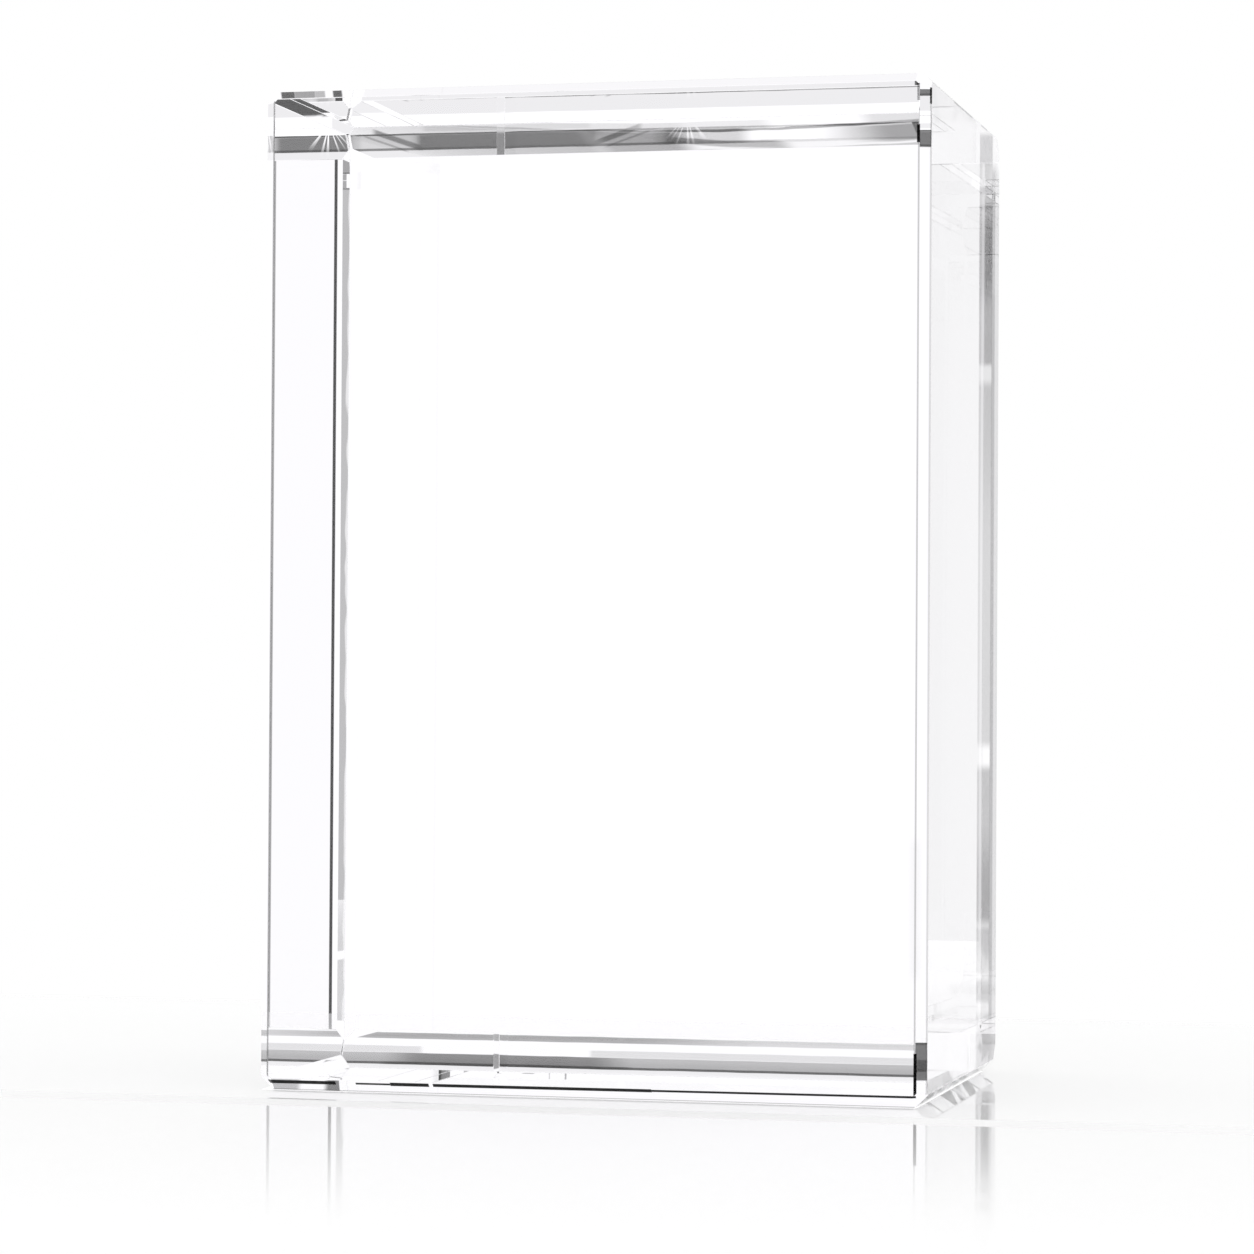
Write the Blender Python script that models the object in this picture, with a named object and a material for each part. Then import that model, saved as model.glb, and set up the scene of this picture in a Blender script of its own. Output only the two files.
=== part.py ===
"""Optical crystal block for a photo display, standing upright on its base.

It is one solid of clear crown glass: a sawn and polished box whose twelve edges are ground to
45 degree chamfers and whose eight corners are ground to small facets. The chamfers along the top
and the bottom of the back are the broad ones, because they show through the front face.

Units are metres and +Z is up. The broad front face looks along -Y, the narrow sides look along X,
and the origin is the centre of the base face.
"""

from itertools import combinations, product

import bmesh
import bpy
from mathutils import Vector

# Outer size between opposite polished faces
HEIGHT = 0.120
WIDTH = 0.081
DEPTH = 0.055

# Each chamfer's leg, which is what it takes off each of the two faces it joins
UPRIGHT_CHAMFER = 0.00125
TOP_CHAMFER = 0.00100
BASE_CHAMFER = 0.00145
REAR_TOP_CHAMFER = 0.0037
REAR_BASE_CHAMFER = 0.0045

# How much more a corner's facet takes off than the point where its three chamfers meet
CORNER_FACET = 0.0010

# Optical glass
GLASS_COLOUR = (0.985, 0.977, 1.0, 1.0)
GLASS_ROUGHNESS = 0.02
GLASS_IOR = 1.517

CENTRE = Vector((0.0, 0.0, HEIGHT / 2))
HALF_SIZE = Vector((WIDTH / 2, DEPTH / 2, HEIGHT / 2))
X, Y, Z = range(3)


def clear_scene():
    """Removes every object that the file starts with."""
    for obj in list(bpy.data.objects):
        bpy.data.objects.remove(obj, do_unlink=True)


def new_collection(name):
    """A collection of this name, linked to the scene."""
    collection = bpy.data.collections.new(name)
    bpy.context.scene.collection.children.link(collection)
    return collection


def optical_glass():
    """Clear polished glass."""
    material = bpy.data.materials.new("optical_crystal")
    material.use_nodes = True
    shader = material.node_tree.nodes["Principled BSDF"]
    shader.inputs["Base Color"].default_value = GLASS_COLOUR
    shader.inputs["Metallic"].default_value = 0.0
    shader.inputs["Roughness"].default_value = GLASS_ROUGHNESS
    shader.inputs["IOR"].default_value = GLASS_IOR
    shader.inputs["Transmission Weight"].default_value = 1.0
    material.diffuse_color = GLASS_COLOUR
    return material


def grind(bm, side, leg):
    """Grinds one flat facet where the faces that side names meet.

    side holds -1, 0 or 1 for X, Y and Z: two signs name an edge, and three a corner. leg is the
    sum of what the facet takes off along those axes, measured from the sawn edge or corner.
    """
    normal = Vector(side)
    sawn = Vector(half * sign for half, sign in zip(HALF_SIZE, side))
    through = CENTRE + sawn - normal * leg / normal.length_squared
    everything = bm.verts[:] + bm.edges[:] + bm.faces[:]
    cut = bmesh.ops.bisect_plane(
        bm,
        geom=everything,
        dist=1e-7,
        plane_co=through,
        plane_no=normal,
        clear_outer=True,
    )
    rim = [part for part in cut["geom_cut"] if isinstance(part, bmesh.types.BMEdge)]
    bmesh.ops.contextual_create(bm, geom=rim)


def edge_chamfer(side):
    """The leg of the chamfer on the edge that side names."""
    if side[Z] == 0:
        return UPRIGHT_CHAMFER
    if side[Y] > 0:
        return REAR_TOP_CHAMFER if side[Z] > 0 else REAR_BASE_CHAMFER
    return TOP_CHAMFER if side[Z] > 0 else BASE_CHAMFER


def block_edges():
    """The sides of the twelve edges, as signs along X, Y and Z."""
    for axes in combinations((X, Y, Z), 2):
        for signs in product((-1, 1), repeat=2):
            side = [0, 0, 0]
            for axis, sign in zip(axes, signs):
                side[axis] = sign
            yield tuple(side)


def corner_edges(corner):
    """The sides of the three edges that meet at the corner: its signs, less one at a time."""
    for axis in (X, Y, Z):
        side = list(corner)
        side[axis] = 0
        yield tuple(side)


def grind_facets(bm):
    """Chamfers the twelve edges, then facets the eight corners."""
    for side in block_edges():
        grind(bm, side, edge_chamfer(side))
    for corner in product((-1, 1), repeat=3):
        chamfers_meet = sum(edge_chamfer(side) for side in corner_edges(corner)) / 2
        grind(bm, corner, chamfers_meet + CORNER_FACET)


def crystal_block(collection):
    """The block as one polished solid."""
    bpy.ops.mesh.primitive_cube_add(size=2.0, location=CENTRE)
    block = bpy.context.object
    block.name = "crystal_block"
    block.data.name = "crystal_block"
    for owner in list(block.users_collection):
        owner.objects.unlink(block)
    collection.objects.link(block)

    bm = bmesh.new()
    bm.from_mesh(block.data)
    bmesh.ops.scale(bm, vec=HALF_SIZE, verts=bm.verts)
    bmesh.ops.translate(bm, vec=CENTRE, verts=bm.verts)
    grind_facets(bm)
    bmesh.ops.translate(bm, vec=-CENTRE, verts=bm.verts)
    bmesh.ops.recalc_face_normals(bm, faces=bm.faces[:])
    bm.to_mesh(block.data)
    bm.free()

    block.data.materials.append(optical_glass())
    return block


def main():
    clear_scene()
    crystal_block(new_collection("optical_crystal_block"))


main()
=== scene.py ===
"""The looks of an optical crystal block: clear polished crown glass on glossy white acrylic.

The block is one solid piece of glass, so what shows inside it is its own far side, bent and
mirrored by the polished faces. The studio round it is white. Grey cards round the block, a film
with stripes of painted shade over it, and painted strips of shade, painted light and a painted
glint under it only show in the glass, where they draw its edges. The darkest lines along the
edges are painted shade in the glass's own material.
"""

import logging
import math
from dataclasses import dataclass
from enum import Enum
from itertools import combinations, product
from typing import Iterator

import bmesh
import bpy
from mathutils import Matrix, Vector


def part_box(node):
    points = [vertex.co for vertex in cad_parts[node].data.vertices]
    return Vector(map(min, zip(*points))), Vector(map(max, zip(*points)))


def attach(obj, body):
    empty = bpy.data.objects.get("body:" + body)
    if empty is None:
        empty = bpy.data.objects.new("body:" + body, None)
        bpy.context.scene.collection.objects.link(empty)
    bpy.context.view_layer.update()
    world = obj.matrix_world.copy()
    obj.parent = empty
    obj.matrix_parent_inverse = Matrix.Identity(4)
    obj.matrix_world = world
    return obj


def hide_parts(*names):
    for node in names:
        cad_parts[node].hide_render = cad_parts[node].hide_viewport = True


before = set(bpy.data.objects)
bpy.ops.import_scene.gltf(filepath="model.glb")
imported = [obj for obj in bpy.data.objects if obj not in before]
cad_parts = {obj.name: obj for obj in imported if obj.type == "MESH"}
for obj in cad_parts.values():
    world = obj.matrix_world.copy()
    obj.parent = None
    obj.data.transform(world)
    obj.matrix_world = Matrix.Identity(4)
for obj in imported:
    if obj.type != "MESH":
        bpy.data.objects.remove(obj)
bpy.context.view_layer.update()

LOG = logging.getLogger("crystal_block")
MM = 0.001
CAD_NODE = "crystal_block"
X, Y, Z = range(3)
Socket = bpy.types.NodeSocket
Value = Socket | float

# How often light may turn inside the glass
LIGHT_TURNS = 24

# How fine the noise is that streaks and ripples are made of
NOISE_DETAIL = 1.0

# A mottled patch's noise: how much narrower its spots are across, how much they twist, and the
# noise at which the patch is left out and at which it shows in full
MOTTLE_STRETCH = 4.0
MOTTLE_TWIST = 0.4
MOTTLE_RANGE = (0.62, 0.38)


class Tree:
    """Adds nodes to one material's or world's node tree."""

    def __init__(self, owner: bpy.types.Material | bpy.types.World) -> None:
        """Starts an empty tree.

        Args:
            owner: The material or world that the tree belongs to.
        """
        owner.use_nodes = True
        self.nodes = owner.node_tree.nodes
        self.links = owner.node_tree.links
        self.nodes.clear()

    def add(self, kind: str, **settings: object) -> bpy.types.Node:
        """Adds one node.

        Args:
            kind: The node's type, such as ShaderNodeMath.
            **settings: Values for the node's own properties.

        Returns:
            The new node.
        """
        node = self.nodes.new(kind)
        for name, value in settings.items():
            setattr(node, name, value)
        return node

    def feed(self, socket: Socket, value: object) -> None:
        """Links an output to a socket, or sets the socket's own value.

        Args:
            socket: The input to feed.
            value: An output socket, or a constant.
        """
        if isinstance(value, bpy.types.NodeSocket):
            self.links.new(value, socket)
        else:
            socket.default_value = value

    def maths(self, operation: str, *values: Value) -> Socket:
        """One step of arithmetic.

        Args:
            operation: The Math node's operation.
            *values: Its inputs, as outputs or constants.

        Returns:
            The result's socket.
        """
        node = self.add("ShaderNodeMath", operation=operation)
        for socket, value in zip(node.inputs, values):
            self.feed(socket, value)
        return node.outputs[0]

    def split(self, vector: Socket) -> tuple[Socket, Socket, Socket]:
        """Takes a vector apart.

        Args:
            vector: The vector's output.

        Returns:
            Its X, Y and Z.
        """
        parts = self.add("ShaderNodeSeparateXYZ")
        self.feed(parts.inputs[0], vector)
        x, y, z = parts.outputs
        return x, y, z

    def place_mm(self) -> tuple[Socket, Socket, Socket]:
        """Where on the piece.

        Returns:
            The place along X, Y and Z, in millimetres.
        """
        in_mm = self.add("ShaderNodeVectorMath", operation="SCALE")
        self.feed(in_mm.inputs[0], self.add("ShaderNodeTexCoord").outputs["Object"])
        in_mm.inputs["Scale"].default_value = 1.0 / MM
        return self.split(in_mm.outputs[0])

    def step(
        self, value: Socket, start: float, end: float, low: float = 0.0, high: float = 1.0
    ) -> Socket:
        """A smooth step from low at start to high at end.

        Args:
            value: The output that drives the step.
            start: Where the step starts.
            end: Where it ends.
            low: The result before the start.
            high: The result after the end.

        Returns:
            The result's socket.
        """
        node = self.add("ShaderNodeMapRange", interpolation_type="SMOOTHSTEP")
        for socket, number in zip(node.inputs, (value, start, end, low, high)):
            self.feed(socket, number)
        return node.outputs[0]

    def band(self, value: Socket, low: float, high: float, soft: float) -> Socket:
        """One between low and high, and nought outside, with soft ends.

        Args:
            value: The output to test.
            low: The band's lower end.
            high: Its upper end.
            soft: How wide each end is.

        Returns:
            The result's socket.
        """
        rise = self.step(value, low - soft / 2, low + soft / 2)
        fall = self.step(value, high - soft / 2, high + soft / 2, 1.0, 0.0)
        return self.maths("MULTIPLY", rise, fall)

    def dim(self, ground: Value, cover: Socket, tone: float) -> Socket:
        """Brings the ground down to tone times itself where the cover is one."""
        share = self.maths("MULTIPLY_ADD", cover, tone - 1.0, 1.0)
        return self.maths("MULTIPLY", ground, share)


@dataclass(frozen=True)
class Patch:
    """A grey or black patch on a white ground, such as a card in front of a white wall.

    Attributes:
        across: Its two ends along the first direction.
        along: Its two ends along the second direction.
        tone: How bright it is.
        soft: How wide the soft edges at its ends along the second direction are.
        fade: How wide those along the first direction are, or nothing for the same.
        lean: How much its second direction rises with the first.
        mottle: How much its tone wavers.
    """

    across: tuple[float, float]
    along: tuple[float, float]
    tone: float
    soft: float = 0.3
    fade: float | None = None
    lean: float = 0.0
    mottle: float = 0.0

    def paint(self, tree: Tree, across: Socket, along: Socket, ground: Value) -> Socket:
        """Lays the patch over the ground.

        Args:
            tree: The tree to work in.
            across: Where on the ground, along the first direction.
            along: Where on the ground, along the second direction.
            ground: The ground's tone so far.

        Returns:
            The ground's tone with the patch on it.
        """
        height = along
        if self.lean:
            height = tree.maths("MULTIPLY_ADD", across, -self.lean, along)
        cover = tree.maths(
            "MULTIPLY",
            tree.band(across, *self.across, self.soft if self.fade is None else self.fade),
            tree.band(height, *self.along, self.soft),
        )
        if self.mottle:
            cover = tree.maths("MULTIPLY", cover, self._waver(tree, across, along))
        return tree.dim(ground, cover, self.tone)

    def _waver(self, tree: Tree, across: Socket, along: Socket) -> Socket:
        """How much of the patch shows, from place to place.

        Args:
            tree: The tree to work in.
            across: Where on the ground, along the first direction.
            along: Where on the ground, along the second direction.

        Returns:
            A share between nought and one.
        """
        place = tree.add("ShaderNodeCombineXYZ")
        tree.feed(place.inputs["X"], tree.maths("MULTIPLY", across, MOTTLE_STRETCH))
        tree.feed(place.inputs["Y"], along)
        noise = tree.add("ShaderNodeTexNoise")
        noise.inputs["Scale"].default_value = 1.0
        noise.inputs["Detail"].default_value = NOISE_DETAIL
        noise.inputs["Distortion"].default_value = MOTTLE_TWIST
        tree.feed(noise.inputs["Vector"], place.outputs[0])
        share = tree.step(noise.outputs["Fac"], *MOTTLE_RANGE)
        return tree.maths("MULTIPLY_ADD", share, self.mottle, 1.0 - self.mottle)


@dataclass(frozen=True)
class Burst:
    """A painted glint: rays of light that spread over a ground from one point.

    Attributes:
        across: Where the point is along the first direction.
        along: Where it is along the second direction.
        reach: How far the rays go.
        rays: How many there are to the radian.
        core: Where the bright middle starts and ends its fading, as shares of the reach.
        sharp: The noise at which a ray starts and at which it is full.
    """

    across: float
    along: float
    reach: float
    rays: float
    core: tuple[float, float] = (0.1, 0.4)
    sharp: tuple[float, float] = (0.50, 0.62)

    def paint(self, tree: Tree, across: Socket, along: Socket, ground: Socket) -> Socket:
        """Lays the rays over the ground.

        Args:
            tree: The tree to work in.
            across: Where on the ground, along the first direction.
            along: Where on the ground, along the second direction.
            ground: The ground's tone so far.

        Returns:
            The ground's tone with the rays on it.
        """
        aside = tree.maths("SUBTRACT", across, self.across)
        ahead = tree.maths("SUBTRACT", along, self.along)
        squares = tree.maths("MULTIPLY_ADD", aside, aside, tree.maths("MULTIPLY", ahead, ahead))
        length = tree.maths("SQRT", squares)
        noise = tree.add("ShaderNodeTexNoise", noise_dimensions="1D")
        noise.inputs["Scale"].default_value = self.rays
        noise.inputs["Detail"].default_value = NOISE_DETAIL
        tree.feed(noise.inputs["W"], tree.maths("ARCTAN2", ahead, aside))
        ray = tree.step(noise.outputs["Fac"], *self.sharp)
        inner, outer = (share * self.reach for share in self.core)
        far = tree.step(length, outer, self.reach, 1.0, 0.0)
        near = tree.step(length, inner, outer, 1.0, 0.0)
        light = tree.maths("MAXIMUM", tree.maths("MULTIPLY", ray, far), near)
        dark = tree.maths("SUBTRACT", 1.0, ground)
        return tree.maths("MULTIPLY_ADD", light, dark, ground)


@dataclass(frozen=True)
class EdgeShade:
    """A stretch of painted shade along an edge, in millimetres.

    Attributes:
        x: Its two ends along X.
        y: Its two ends along Y.
        z: Its two ends along Z, where X is nought.
        tone: How bright the edge is there.
        rise: How much the stretch rises along X.
        soft: How wide its soft ends are.
    """

    x: tuple[float, float]
    y: tuple[float, float]
    z: tuple[float, float]
    tone: float
    rise: float = 0.0
    soft: float = 0.06

    def paint(self, tree: Tree, place: tuple[Socket, Socket, Socket], ground: Value) -> Socket:
        """Paints the stretch of shade onto the glass.

        Args:
            tree: The material's tree.
            place: Where on the piece, along X, Y and Z in millimetres.
            ground: The glass's tone so far.

        Returns:
            The tone with the stretch on it.
        """
        x, y, z = place
        height = tree.maths("MULTIPLY_ADD", x, -self.rise, z)
        in_plan = tree.maths(
            "MULTIPLY",
            tree.band(x, *self.x, self.soft),
            tree.band(y, *self.y, self.soft),
        )
        cover = tree.maths("MULTIPLY", in_plan, tree.band(height, *self.z, self.soft))
        return tree.dim(ground, cover, self.tone)


# Where the front face and the edge along its foot lie along Y, and how much that edge's line rises
FRONT_Y = (-27.6, -27.3)
FOOT_Y = (-27.7, -26.6)
FOOT_RISE = 0.0041
BLACK = 0.01

# Stretches of painted shade along the block's edges, which darken the glass's colour and mirroring
EDGE_SHADES = (
    # The foot of the front face, and the front edge of the base.
    EdgeShade((-39.4, -30.8), FOOT_Y, (0.98, 1.42), BLACK, FOOT_RISE),
    EdgeShade((-28.3, -24.0), FOOT_Y, (1.06, 1.30), 0.02, FOOT_RISE),
    EdgeShade((-24.0, -19.2), FOOT_Y, (0.98, 1.42), BLACK, FOOT_RISE),
    EdgeShade((-18.7, 8.0), FOOT_Y, (1.00, 1.40), BLACK, FOOT_RISE),
    EdgeShade((8.0, 39.3), FOOT_Y, (1.06, 1.34), BLACK, FOOT_RISE),
    EdgeShade((-39.0, 39.0), (-26.3, -25.9), (-0.1, 0.15), 0.60),
    # The front face's right edge.
    EdgeShade((39.10, 39.30), FRONT_Y, (6.4, 111.8), 0.60),
    EdgeShade((39.10, 39.30), FRONT_Y, (15.0, 31.0), 0.45, 0.0, 2.0),
    EdgeShade((39.08, 39.42), FRONT_Y, (1.2, 6.4), BLACK),
    EdgeShade((38.98, 39.33), FRONT_Y, (111.8, 113.9), 0.02),
    EdgeShade((39.00, 39.30), FRONT_Y, (116.7, 118.7), 0.40),
    # Its left edge, and the near edge of the right face.
    EdgeShade((-39.40, -39.15), FRONT_Y, (1.5, 118.8), 0.42),
    EdgeShade((40.30, 40.60), (-26.42, -26.12), (1.5, 116.4), 0.70),
    EdgeShade((40.30, 40.60), (-26.45, -26.05), (116.4, 118.3), 0.05),
    # The top edge of the right face.
    EdgeShade((40.0, 40.6), (-10.0, 4.0), (118.8, 119.3), 0.35, 0.0, 0.2),
    EdgeShade((40.0, 40.6), (11.0, 16.0), (118.8, 119.3), 0.35, 0.0, 0.2),
)


@dataclass(frozen=True)
class GlassFinish:
    """One finish of the same clear crown glass, with painted shade along its edges.

    Attributes:
        name: The material's name.
        ripple: Height of the slow waves that grinding leaves, in metres.
        ripple_size: Length of those waves, in metres.
        roughness: How much the surface blurs what is seen in it.
        colour: The glass's colour.
        ior: Its index of refraction.
        shades: The stretches of painted shade along its edges.
    """

    name: str
    ripple: float = 0.0
    ripple_size: float = 6 * MM
    roughness: float = 0.0
    colour: tuple[float, float, float, float] = (0.985, 0.977, 1.0, 1.0)
    ior: float = 1.517
    shades: tuple[EdgeShade, ...] = EDGE_SHADES

    def material(self) -> bpy.types.Material:
        """Makes the finish as a material.

        Returns:
            A glass material with its painted edge shade and its waves.
        """
        material = bpy.data.materials.new(self.name)
        tree = Tree(material)
        output = tree.add("ShaderNodeOutputMaterial")
        glass = tree.add("ShaderNodeBsdfPrincipled")
        glass.inputs["Base Color"].default_value = self.colour
        glass.inputs["Roughness"].default_value = self.roughness
        glass.inputs["IOR"].default_value = self.ior
        glass.inputs["Transmission Weight"].default_value = 1.0
        tree.feed(output.inputs["Surface"], glass.outputs[0])
        self._shade_edges(tree, glass)
        if self.ripple:
            self._ripple(tree, glass)
        material.diffuse_color = self.colour
        return material

    def _shade_edges(self, tree: Tree, glass: bpy.types.Node) -> None:
        """Paints shade into the glass along its edges, in what it lets through and in what it
        mirrors.

        Args:
            tree: The material's tree.
            glass: The material's shader.
        """
        place = tree.place_mm()
        tone: Value = 1.0
        for shade in self.shades:
            tone = shade.paint(tree, place, tone)
        # The painted shade darkens the glass's colour and its mirror tint
        tint = tree.add("ShaderNodeVectorMath", operation="SCALE")
        tint.inputs[0].default_value = self.colour[:3]
        tree.feed(tint.inputs["Scale"], tree.maths("MULTIPLY", tone, tone))
        tree.feed(glass.inputs["Base Color"], tint.outputs[0])
        tree.feed(glass.inputs["Specular Tint"], tone)

    def _ripple(self, tree: Tree, glass: bpy.types.Node) -> None:
        """Bends the surface in slow waves.

        Args:
            tree: The material's tree.
            glass: The material's shader.
        """
        noise = tree.add("ShaderNodeTexNoise")
        noise.inputs["Scale"].default_value = 1.0 / self.ripple_size
        noise.inputs["Detail"].default_value = NOISE_DETAIL
        tree.feed(noise.inputs["Vector"], tree.add("ShaderNodeTexCoord").outputs["Object"])
        bump = tree.add("ShaderNodeBump")
        bump.inputs["Distance"].default_value = 1.0
        height = tree.maths("MULTIPLY", noise.outputs["Fac"], self.ripple)
        tree.feed(bump.inputs["Height"], height)
        tree.feed(glass.inputs["Normal"], bump.outputs[0])


POLISHED_FACE = GlassFinish("polished_face")
GROUND_CHAMFER = GlassFinish("ground_chamfer", ripple=0.001 * MM)
EASED_ARRIS = GlassFinish("eased_arris")


class Surface(Enum):
    """The block's three kinds of surface, in the order of its material slots."""

    POLISHED = 0
    CHAMFER = 1
    ARRIS = 2


@dataclass
class CrystalBlock:
    """The block: a sawn box with ground chamfers, corner facets and eased arrises.

    Attributes:
        low: The box's lowest corner.
        high: The box's highest corner.
        upright_chamfer: Leg of the four upright chamfers.
        top_chamfer: Leg of the chamfers along the top's front and sides.
        base_chamfer: Leg of the chamfers along the base's front and sides.
        rear_top_chamfer: Leg of the broad chamfer along the top of the back.
        rear_base_chamfer: Leg of the broad chamfer along the bottom of the back.
        corner_facet: How much more a corner's facet takes off than its chamfers' meeting point.
        arris: Width of the band that eases each sharp edge.
        arris_steps: How many strips round it off.
        weld: How close two points are one in a cut.
        square: How much of a polished face's direction lies along one axis.
        level: How far the parts of a facet's direction may be from equal.
    """

    low: Vector
    high: Vector
    upright_chamfer: float = 1.25 * MM
    top_chamfer: float = 1.0 * MM
    base_chamfer: float = 1.45 * MM
    rear_top_chamfer: float = 3.7 * MM
    rear_base_chamfer: float = 4.5 * MM
    corner_facet: float = 1.0 * MM
    arris: float = 0.06 * MM
    arris_steps: int = 3
    weld: float = 1e-7
    square: float = 0.9999
    level: float = 1e-4

    @property
    def centre(self) -> Vector:
        """The middle of the box."""
        return (self.low + self.high) / 2

    @property
    def half_size(self) -> Vector:
        """Half of the box's size along each axis."""
        return (self.high - self.low) / 2

    def build(self) -> bpy.types.Object:
        """Models and dresses the block.

        Returns:
            The finished piece, riding on the root body in place of the CAD node.
        """
        bm = bmesh.new()
        bmesh.ops.create_cube(bm, size=2.0)
        bmesh.ops.scale(bm, vec=self.half_size, verts=bm.verts)
        bmesh.ops.translate(bm, vec=self.centre, verts=bm.verts)
        self._grind_facets(bm)
        self._ease_arrises(bm)
        self._sort_surfaces(bm)
        mesh = bpy.data.meshes.new("polished_block")
        bm.to_mesh(mesh)
        bm.free()
        block = bpy.data.objects.new("polished_block", mesh)
        bpy.context.scene.collection.objects.link(block)
        for finish in (POLISHED_FACE, GROUND_CHAMFER, EASED_ARRIS):
            mesh.materials.append(finish.material())
        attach(block, "root")
        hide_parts(CAD_NODE)
        return block

    def _chamfer(self, side: tuple[int, ...]) -> float:
        """The leg of the chamfer on one edge.

        Args:
            side: The edge, as signs along X, Y and Z with one nought.

        Returns:
            What the chamfer takes off each of the two faces it joins.
        """
        if side[Z] == 0:
            return self.upright_chamfer
        top = side[Z] > 0
        if side[Y] > 0:
            return self.rear_top_chamfer if top else self.rear_base_chamfer
        return self.top_chamfer if top else self.base_chamfer

    @staticmethod
    def _edges() -> Iterator[tuple[int, ...]]:
        """The twelve edges.

        Returns:
            An iterator over the edges, as signs along X, Y and Z.
        """
        for axes in combinations((X, Y, Z), 2):
            for signs in product((-1, 1), repeat=2):
                side = [0, 0, 0]
                for axis, sign in zip(axes, signs):
                    side[axis] = sign
                yield tuple(side)

    def _grind(self, bm: bmesh.types.BMesh, side: tuple[int, ...], leg: float) -> None:
        """Grinds one flat facet.

        Args:
            bm: The block so far.
            side: The edge or corner, as signs along X, Y and Z.
            leg: What the facet takes off along those axes together.
        """
        normal = Vector(side)
        sawn = Vector(half * sign for half, sign in zip(self.half_size, side))
        cut = bmesh.ops.bisect_plane(
            bm,
            geom=bm.verts[:] + bm.edges[:] + bm.faces[:],
            dist=self.weld,
            plane_co=self.centre + sawn - normal * leg / normal.length_squared,
            plane_no=normal,
            clear_outer=True,
        )
        rim = [part for part in cut["geom_cut"] if isinstance(part, bmesh.types.BMEdge)]
        bmesh.ops.contextual_create(bm, geom=rim)

    def _grind_facets(self, bm: bmesh.types.BMesh) -> None:
        """Chamfers the twelve edges, then facets the eight corners.

        Args:
            bm: The sawn box.
        """
        for side in self._edges():
            self._grind(bm, side, self._chamfer(side))
        for corner in product((-1, 1), repeat=3):
            meet = 0.0
            for axis in (X, Y, Z):
                side = list(corner)
                side[axis] = 0
                meet += self._chamfer(tuple(side)) / 2
            self._grind(bm, corner, meet + self.corner_facet)
        bmesh.ops.recalc_face_normals(bm, faces=bm.faces[:])

    def _ease_arrises(self, bm: bmesh.types.BMesh) -> None:
        """Rounds every sharp edge a little, as a polishing pad does.

        Args:
            bm: The faceted block.
        """
        bmesh.ops.bevel(
            bm,
            geom=bm.edges[:],
            offset=self.arris,
            offset_type="OFFSET",
            segments=self.arris_steps,
            profile=0.5,
            affect="EDGES",
            clamp_overlap=True,
            material=-1,
        )
        bmesh.ops.recalc_face_normals(bm, faces=bm.faces[:])

    def _sort_surfaces(self, bm: bmesh.types.BMesh) -> None:
        """Gives each face its kind of surface.

        Args:
            bm: The finished shape.
        """
        for face in bm.faces:
            kind = self._surface(face)
            face.material_index = kind.value
            face.smooth = kind is Surface.ARRIS

    def _surface(self, face: bmesh.types.BMFace) -> Surface:
        """The kind of surface of one face, from the way it faces.

        Args:
            face: A face of the finished shape.

        Returns:
            Its kind of surface.
        """
        least, middle, most = sorted(abs(part) for part in face.normal)
        if most > self.square:
            return Surface.POLISHED
        edge_like = least < self.level and abs(middle - most) < self.level
        corner_like = abs(least - most) < self.level
        if edge_like or corner_like:
            return Surface.CHAMFER
        return Surface.ARRIS


@dataclass
class PhotoCamera:
    """The camera, at the photograph's viewing angle.

    Attributes:
        place: Where it stands.
        yaw: How far it is turned from looking along +Y, towards -X.
        pitch: How far it looks up.
        roll: How far it leans.
        focal_px: Focal length in pixels of a frame that is frame_px wide.
        frame_px: Width of that frame in pixels.
        sensor_mm: Width of its sensor in millimetres.
        sight: How far it sees.
    """

    place: Vector = Vector((120.43 * MM, -503.90 * MM, 47.52 * MM))
    yaw: float = math.radians(13.647)
    pitch: float = math.radians(0.943)
    roll: float = math.radians(0.338)
    focal_px: float = 4171.7
    frame_px: int = 1254
    sensor_mm: float = 36.0
    sight: float = 100.0

    def build(self) -> bpy.types.Object:
        """Makes the camera and sets it as the scene's.

        Returns:
            The camera.
        """
        data = bpy.data.cameras.new("photo_camera")
        data.sensor_width = self.sensor_mm
        data.lens = self.focal_px * self.sensor_mm / self.frame_px
        data.clip_end = self.sight
        camera = bpy.data.objects.new("photo_camera", data)
        turn = (
            Matrix.Rotation(self.yaw, 4, "Z")
            @ Matrix.Rotation(math.pi / 2 + self.pitch, 4, "X")
            @ Matrix.Rotation(self.roll, 4, "Z")
        )
        camera.matrix_world = Matrix.Translation(self.place) @ turn
        bpy.context.scene.collection.objects.link(camera)
        bpy.context.scene.camera = camera
        return camera


def stage_sheet(name: str, corner: Vector, along: Vector, across: Vector) -> bpy.types.Object:
    """A flat sheet of the stage, with its place in its mesh.

    Args:
        name: The object's name.
        corner: One corner.
        along: One side, from that corner.
        across: The other side, from that corner.

    Returns:
        The sheet.
    """
    bm = bmesh.new()
    bmesh.ops.create_grid(bm, x_segments=1, y_segments=1, size=0.5)
    sides = Matrix((along, across, along.cross(across).normalized())).transposed().to_4x4()
    middle = Matrix.Translation(corner + (along + across) / 2)
    bmesh.ops.transform(bm, matrix=middle @ sides, verts=bm.verts)
    mesh = bpy.data.meshes.new(name)
    bm.to_mesh(mesh)
    bm.free()
    sheet = bpy.data.objects.new(name, mesh)
    bpy.context.scene.collection.objects.link(sheet)
    return sheet


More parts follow.
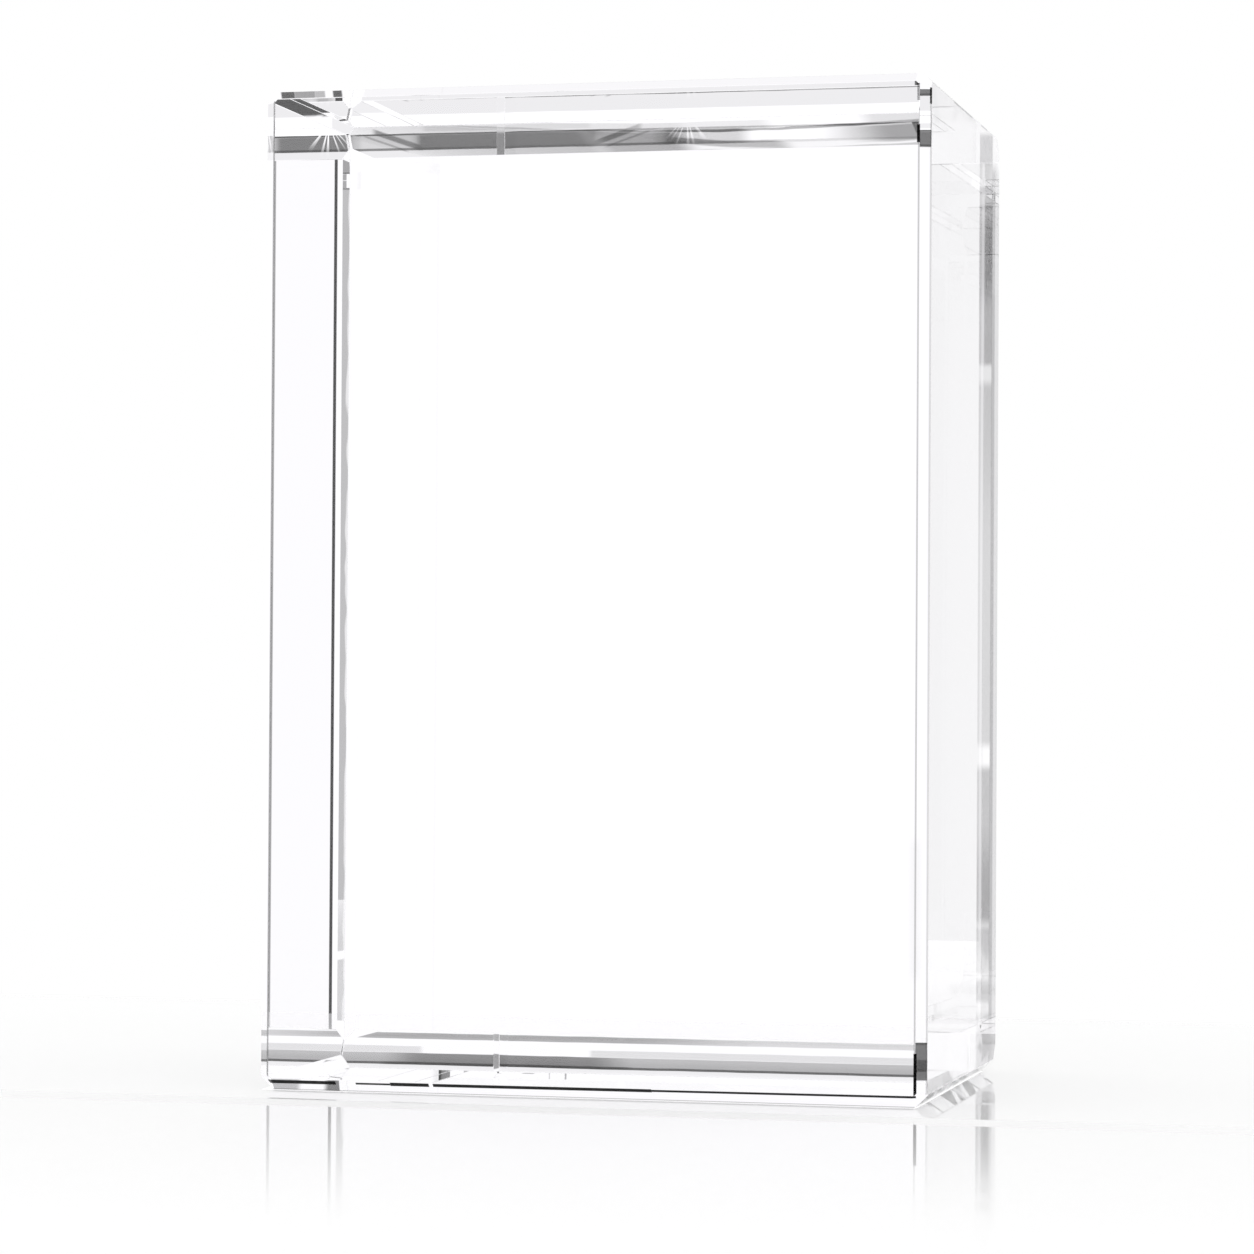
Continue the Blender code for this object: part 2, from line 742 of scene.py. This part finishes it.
@dataclass
class Table:
    """The glossy white acrylic that the block stands on.

    Attributes:
        gap: How far it lies below the block's base.
        front: How far it reaches towards the camera.
        back: How far it reaches behind the block.
        side: How far it reaches to each side.
        white: Its colour.
        roughness: How dull the acrylic is under its gloss.
        coat_roughness: How dull the gloss itself is.
        coat_ior: The gloss's index of refraction.
        glow: How much light the sheet itself lets through.
        lit: How bright the painted light under the block is.
        gloss_y: Where its gloss starts and is full, in millimetres along Y.
        foot_x: Where the block covers it, in millimetres along X.
        foot_y: Where the block covers it, in millimetres along Y.
        foot_soft: How wide the covered place's soft edges are.
        dull_y: Where the sheet has no gloss, in millimetres along Y.
        dull_soft: How wide that strip's soft edges are.
        marks: The painted strips of shade under the block, in millimetres along X and Y.
        burst: The painted glint's rays of light on them, in the same units.
    """

    gap: float = 0.05 * MM
    front: float = 0.25
    back: float = 0.11
    side: float = 0.4
    white: float = 0.95
    roughness: float = 0.6
    coat_roughness: float = 0.01
    coat_ior: float = 1.5
    glow: float = 0.07
    lit: float = 1.10
    gloss_y: tuple[float, float] = (-155.0, -45.0)
    foot_x: tuple[float, float] = (-40.6, 39.2)
    foot_y: tuple[float, float] = (-26.05, 24.2)
    foot_soft: float = 0.3
    dull_y: tuple[float, float] = (-44.0, -36.5)
    dull_soft: float = 1.5
    # Painted strips of shade under the block, which show through the glass
    marks: tuple[Patch, ...] = (
        Patch((-42.0, 36.0), (16.4, 18.65), 0.78, 0.15),
        Patch((-42.0, 30.0), (14.0, 14.25), 0.05, 0.12, 1.0),
        Patch((-44.0, -26.8), (14.25, 16.45), 0.12, 0.15, 2.0),
        Patch((-26.8, -17.5), (14.25, 16.45), 0.62, 0.15, 1.5),
        Patch((-27.6, -20.5), (6.1, 6.9), 0.28, 0.30, 1.2, -0.349),
        Patch((-25.5, -19.0), (7.5, 7.8), 0.55, 0.20, 1.0, -0.349),
        Patch((-17.5, -5.0), (14.25, 16.45), 0.15, 0.15, 3.0),
        Patch((8.0, 30.0), (14.25, 16.3), 0.35, 0.15, 6.0),
        Patch((-42.0, 30.0), (16.1, 16.45), 0.30, 0.12, 1.0),
        Patch((-44.0, -28.0), (13.0, 13.75), 0.80, 0.15, 1.0),
        Patch((-30.0, -24.0), (-9.5, 12.5), 0.80, 0.30),
        Patch((29.0, 32.5), (-12.75, -12.05), 0.33, 0.10, 0.20),
    )
    # A painted glint over the painted strips
    burst: Burst = Burst(-13.6, 12.3, 5.2, 5.0)

    def build(self) -> bpy.types.Object:
        """Makes the table.

        Returns:
            The sheet.
        """
        sheet = stage_sheet(
            "white_table",
            Vector((-self.side, -self.front, -self.gap)),
            Vector((2 * self.side, 0.0, 0.0)),
            Vector((0.0, self.front + self.back, 0.0)),
        )
        sheet.data.materials.append(self._material())
        return sheet

    def _material(self) -> bpy.types.Material:
        """White acrylic with painted light, shade and a glint under the block, whose gloss fades
        away from it.

        Returns:
            The material.
        """
        material = bpy.data.materials.new("white_acrylic")
        tree = Tree(material)
        output = tree.add("ShaderNodeOutputMaterial")
        acrylic = tree.add("ShaderNodeBsdfPrincipled")
        acrylic.inputs["Roughness"].default_value = self.roughness
        acrylic.inputs["Specular IOR Level"].default_value = 0.0
        acrylic.inputs["Coat Roughness"].default_value = self.coat_roughness
        acrylic.inputs["Coat IOR"].default_value = self.coat_ior
        acrylic.inputs["Emission Color"].default_value = (1.0, 1.0, 1.0, 1.0)
        tree.feed(output.inputs["Surface"], acrylic.outputs[0])

        x, y, _ = tree.place_mm()
        foot = tree.maths(
            "MULTIPLY",
            tree.band(x, *self.foot_x, self.foot_soft),
            tree.band(y, *self.foot_y, self.foot_soft),
        )
        # Under the block the sheet has no colour of its own, only painted light
        colour = tree.maths("MULTIPLY_ADD", foot, -self.white, self.white)
        tree.feed(acrylic.inputs["Base Color"], colour)

        dull = tree.maths("MAXIMUM", foot, tree.band(y, *self.dull_y, self.dull_soft))
        gloss = tree.maths("SUBTRACT", 1.0, dull)
        gloss = tree.maths("MULTIPLY", tree.step(y, *self.gloss_y), gloss)
        tree.feed(acrylic.inputs["Coat Weight"], gloss)

        # Painted light under the block, dimmed by the painted strips of shade and lit up by the
        # painted glint
        tone: Value = 1.0
        for mark in self.marks:
            tone = mark.paint(tree, x, y, tone)
        tone = self.burst.paint(tree, x, y, tone)
        extra = tree.maths("MULTIPLY_ADD", tone, self.lit, -self.glow)
        light = tree.maths("MULTIPLY_ADD", foot, extra, self.glow)
        tree.feed(acrylic.inputs["Emission Strength"], light)
        return material


class Sight(Enum):
    """How the right face shows a card: the value is the sign of the card's azimuth."""

    MIRRORED = 1
    THROUGH = -1

    def card(
        self,
        azimuth: tuple[float, float],
        height: tuple[float, float],
        tone: float,
        soft: float,
        mottle: float = 0.0,
    ) -> Patch:
        """A card where the face shows it in this way, with sharp upright edges.

        Args:
            azimuth: Its two ends, in degrees from +Y, as the face mirrors it.
            height: Its two ends, in degrees above the horizon.
            tone: How bright it is.
            soft: How wide the soft edges of its top and bottom are.
            mottle: How much its tone wavers.

        Returns:
            The card.
        """
        low, high = sorted(self.value * end for end in azimuth)
        return Patch((low, high), height, tone, soft, UPRIGHT_FADE, 0.0, mottle)


# The streaked grey band along the rear of the right face: its three strips' ends in degrees from
# +Y, how sharp their upright edges are, and how high the two outer strips reach
BAND = (8.665, 8.84)
BAND_LINE = (8.625, 8.67)
BAND_RIM = (8.5, 8.625)
UPRIGHT_FADE = 0.02
OUTER_HEIGHT = (-5.0, 7.2)
OUTER_SOFT = 0.2


def rear_band(sight: Sight) -> Iterator[Patch]:
    """The streaked grey band along the rear of the right face.

    Args:
        sight: How the face shows it.

    Returns:
        The band's cards, which dim each other where they overlap.
    """
    for low, high, tone, mottle, soft in (
        (7.27, 7.68, 0.35, 0.2, 0.10),
        (7.00, 7.27, 0.64, 0.0, 0.06),
        (6.87, 6.97, 0.35, 0.0, 0.06),
        (6.65, 6.72, 0.40, 0.0, 0.06),
        (4.55, 6.99, 0.44, 0.0, 0.10),
        (5.50, 6.60, 0.18, 0.1, 0.60),
        (3.00, 6.00, 0.75, 0.0, 2.40),
        (-0.65, 4.30, 0.62, 0.0, 0.16),
        (-3.05, -0.95, 0.48, 0.0, 0.16),
        (-3.50, -2.10, 0.62, 0.0, 0.90),
        (-3.75, -3.15, 0.50, 0.6, 0.10),
        (-4.15, -3.85, 0.35, 0.4, 0.10),
        (-5.00, -4.30, 0.45, 0.6, 0.16),
    ):
        yield sight.card(BAND, (low, high), tone, soft, mottle)
    yield sight.card(BAND_LINE, OUTER_HEIGHT, 0.42, OUTER_SOFT)
    yield sight.card(BAND_RIM, OUTER_HEIGHT, 0.70, OUTER_SOFT)


@dataclass
class Studio:
    """The white surroundings, with grey and black cards that only show in the glass.

    Attributes:
        ground: How bright the white is through the glass.
        cards: The cards seen through the glass, in degrees from +Y towards +X and above the
            horizon.
        mirrored: The cards seen in the glass as in a mirror, in the same degrees.
    """

    ground: float = 1.03
    cards: tuple[Patch, ...] = (
        # Through the top face and the broad chamfer along the top of the back.
        Patch((-18.5, -9.2), (-9.2, -6.5), 0.84),
        Patch((-20.0, -9.0), (-22.0, -19.8), 0.93),
        Patch((-46.0, -15.5), (-27.26, -26.87), 0.57, 0.06, 0.4, 0.46),
        Patch((-15.5, -14.0), (-27.26, -26.87), 0.72, 0.06, 0.4, 0.46),
        Patch((-12.3, -11.0), (-27.26, -26.87), 0.60, 0.06, 0.4, 0.46),
        Patch((-46.0, -11.0), (-27.40, -27.26), 0.10, 0.06, 0.3, 0.46),
        Patch((-46.0, -17.4), (-60.0, -27.40), 0.20, 0.12, 0.6, 0.46),
        Patch((-17.4, -15.7), (-60.0, -27.40), 0.05, 0.12, 0.6, 0.46),
        Patch((-15.5, -11.0), (-28.60, -28.42), 0.45, 0.06, 0.3, 0.46),
        Patch((-16.3, -13.9), (-31.02, -30.62), 0.25, 0.12, 0.5, 0.277),
        Patch((-12.4, -11.0), (-28.30, -27.45), 0.33, 0.12, 1.0, 0.46),
        Patch((-11.53, -11.3), (-28.2, -27.3), 0.02, 0.05, 0.03, 0.46),
        Patch((-9.735, -9.6), (-9.0, -7.7), 0.05, 0.03, 0.02),
        # Round the corner at the top left of the back.
        Patch((8.28, 10.0), (-20.0, -15.0), 0.05, 0.05),
        Patch((17.0, 17.70), (-9.0, -7.5), 0.03, 0.02),
        Patch((17.70, 18.2), (-9.0, -7.5), 0.45, 0.05, 0.05, 0.0, 0.7),
        Patch((19.4, 19.6), (-22.5, -19.5), 0.05, 0.10, 0.03),
        Patch((19.1, 19.4), (-22.5, -19.5), 0.30, 0.10, 0.03),
        Patch((18.95, 19.1), (-22.5, -19.5), 0.45, 0.10, 0.03),
        Patch((18.7, 18.83), (-22.5, -19.5), 0.05, 0.10, 0.03),
        Patch((96.0, 97.99), (14.5, 16.2), 0.26, 0.05),
        Patch((98.25, 98.6), (14.5, 16.2), 0.84, 0.05),
        Patch((94.80, 94.91), (-16.2, -14.5), 0.40, 0.05, 0.02),
        Patch((95.10, 95.29), (-16.2, -14.5), 0.30, 0.05, 0.02),
        # Round the two lower corners of the back.
        Patch((19.65, 20.1), (22.5, 24.0), 0.50, 0.05, 0.1),
        Patch((19.0, 19.25), (22.5, 24.0), 0.18, 0.05, 0.1),
        Patch((-120.0, -118.5), (80.0, 80.25), 0.45, 0.05, 0.3),
        Patch((150.0, 151.0), (79.0, 79.5), 0.30, 0.10, 0.2),
        # Lines along the upright edges.
        Patch((17.658, 17.70), (-5.2, 7.9), 0.02, 0.2, 0.012),
        Patch((107.505, 107.62), (-5.2, 7.9), 0.48, 0.2, 0.02),
        Patch((107.45, 107.505), (-5.2, 7.9), 0.80, 0.2, 0.02),
        Patch((107.505, 107.62), (-7.9, -6.95), 0.33, 0.1, 0.02),
        Patch((18.50, 19.6), (-5.2, 7.9), 0.35, 0.2, 0.012),
        # The left wall, the right face and the near chamfer's foot.
        Patch((17.70, 21.0), (-12.0, 12.0), 0.97, 1.0, 0.05),
        Patch((-171.35, -170.42), (-30.0, 30.0), 0.75, 1.0, 0.04),
        Patch((-98.95, -96.5), (50.0, 58.0), 0.12, 0.5, 0.05),
        # The streaked band along the rear of the right face, with its upper end.
        Patch((-8.86, -8.60), (-7.45, -6.90), 0.45, 0.10, 0.02, 0.0, 0.5),
        *rear_band(Sight.THROUGH),
    )
    mirrored: tuple[Patch, ...] = (
        *rear_band(Sight.MIRRORED),
        Patch((8.9, 9.6), (7.85, 8.7), 0.80, 0.15, 0.05, 0.0, 0.7),
    )

    def build(self) -> bpy.types.World:
        """Makes the surroundings and sets them as the scene's world.

        Returns:
            The world.
        """
        world = bpy.data.worlds.new("studio")
        bpy.context.scene.world = world
        tree = Tree(world)
        output = tree.add("ShaderNodeOutputWorld")
        x, y, z = tree.split(tree.add("ShaderNodeTexCoord").outputs["Generated"])
        azimuth = tree.maths("DEGREES", tree.maths("ARCTAN2", x, y))
        height = tree.maths("DEGREES", tree.maths("ARCSINE", z))
        through: Value = self.ground
        for card in self.cards:
            through = card.paint(tree, azimuth, height, through)
        mirror: Value = 1.0
        for card in self.mirrored:
            mirror = card.paint(tree, azimuth, height, mirror)
        path = tree.add("ShaderNodeLightPath")
        in_glass = tree.maths("GREATER_THAN", path.outputs["Transmission Depth"], 0.5)
        outside = tree.maths("SUBTRACT", 1.0, in_glass)
        off_glass = tree.maths("MULTIPLY", path.outputs["Is Glossy Ray"], outside)
        change = tree.maths("SUBTRACT", through, 1.0)
        shown = tree.maths("MULTIPLY_ADD", in_glass, change, 1.0)
        change = tree.maths("SUBTRACT", mirror, 1.0)
        shown = tree.maths("MULTIPLY_ADD", off_glass, change, shown)
        background = tree.add("ShaderNodeBackground")
        background.inputs["Color"].default_value = (1.0, 1.0, 1.0, 1.0)
        tree.feed(background.inputs["Strength"], shown)
        tree.feed(output.inputs["Surface"], background.outputs[0])
        return world


@dataclass
class OverheadFilm:
    """A clear film with stripes of painted shade, just over the block, which only shows in the
    glass.

    Attributes:
        height: How high it hangs.
        left: Where its left side is.
        width: How wide it is.
        depth: How far it reaches back from the middle of the block.
        stripes: Its stripes of painted shade, in millimetres along X and Y.
    """

    height: float = 123 * MM
    left: float = -50 * MM
    width: float = 85 * MM
    depth: float = 26 * MM
    stripes: tuple[Patch, ...] = (
        Patch((-60.0, 45.0), (19.98, 20.83), 0.68, 0.12),
        Patch((-60.0, -12.0), (19.98, 20.83), 0.58, 0.12, 24.0),
        Patch((-27.8, 45.0), (17.93, 18.88), 0.74, 0.12, 1.0),
        Patch((-60.0, 45.0), (16.18, 17.88), 0.48, 0.12),
        Patch((-60.0, 45.0), (15.40, 17.20), 0.85, 1.0),
        Patch((-60.0, -24.5), (16.18, 17.88), 0.45, 0.12, 7.0),
        Patch((-60.0, 45.0), (16.18, 16.53), 0.20, 0.12),
        Patch((-60.0, -22.0), (16.18, 16.60), 0.40, 0.12, 2.0),
    )

    def build(self) -> bpy.types.Object:
        """Makes the film.

        Returns:
            The film.
        """
        film = stage_sheet(
            "overhead_film",
            Vector((self.left, 0.0, self.height)),
            Vector((self.width, 0.0, 0.0)),
            Vector((0.0, self.depth, 0.0)),
        )
        film.data.materials.append(self._material())
        film.visible_camera = False
        film.visible_diffuse = False
        film.visible_shadow = False
        return film

    def _material(self) -> bpy.types.Material:
        """Clear film with grey stripes of painted shade.

        Returns:
            The material.
        """
        material = bpy.data.materials.new("painted_shade_film")
        tree = Tree(material)
        output = tree.add("ShaderNodeOutputMaterial")
        clear = tree.add("ShaderNodeBsdfTransparent")
        x, y, _ = tree.place_mm()
        # Painted shade in stripes, which dims what is seen through the film
        tone: Value = 1.0
        for stripe in self.stripes:
            tone = stripe.paint(tree, x, y, tone)
        tree.feed(clear.inputs["Color"], tone)
        tree.feed(output.inputs["Surface"], clear.outputs[0])
        return material


def set_view() -> None:
    """Sets the view transform and how many times light may turn inside the glass."""
    scene = bpy.context.scene
    scene.view_settings.view_transform = "Standard"
    scene.cycles.max_bounces = LIGHT_TURNS
    scene.cycles.transmission_bounces = LIGHT_TURNS
    scene.cycles.glossy_bounces = LIGHT_TURNS


def main() -> None:
    """Builds the block, its stage and the camera."""
    logging.basicConfig(level=logging.INFO, format="%(message)s")
    low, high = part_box(CAD_NODE)
    block = CrystalBlock(low, high).build()
    LOG.info("%s: %d faces", block.name, len(block.data.polygons))
    LOG.info("%s", Table().build().name)
    LOG.info("%s", OverheadFilm().build().name)
    LOG.info("%s", Studio().build().name)
    LOG.info("%s", PhotoCamera().build().name)
    set_view()


if __name__ == "__main__":
    main()
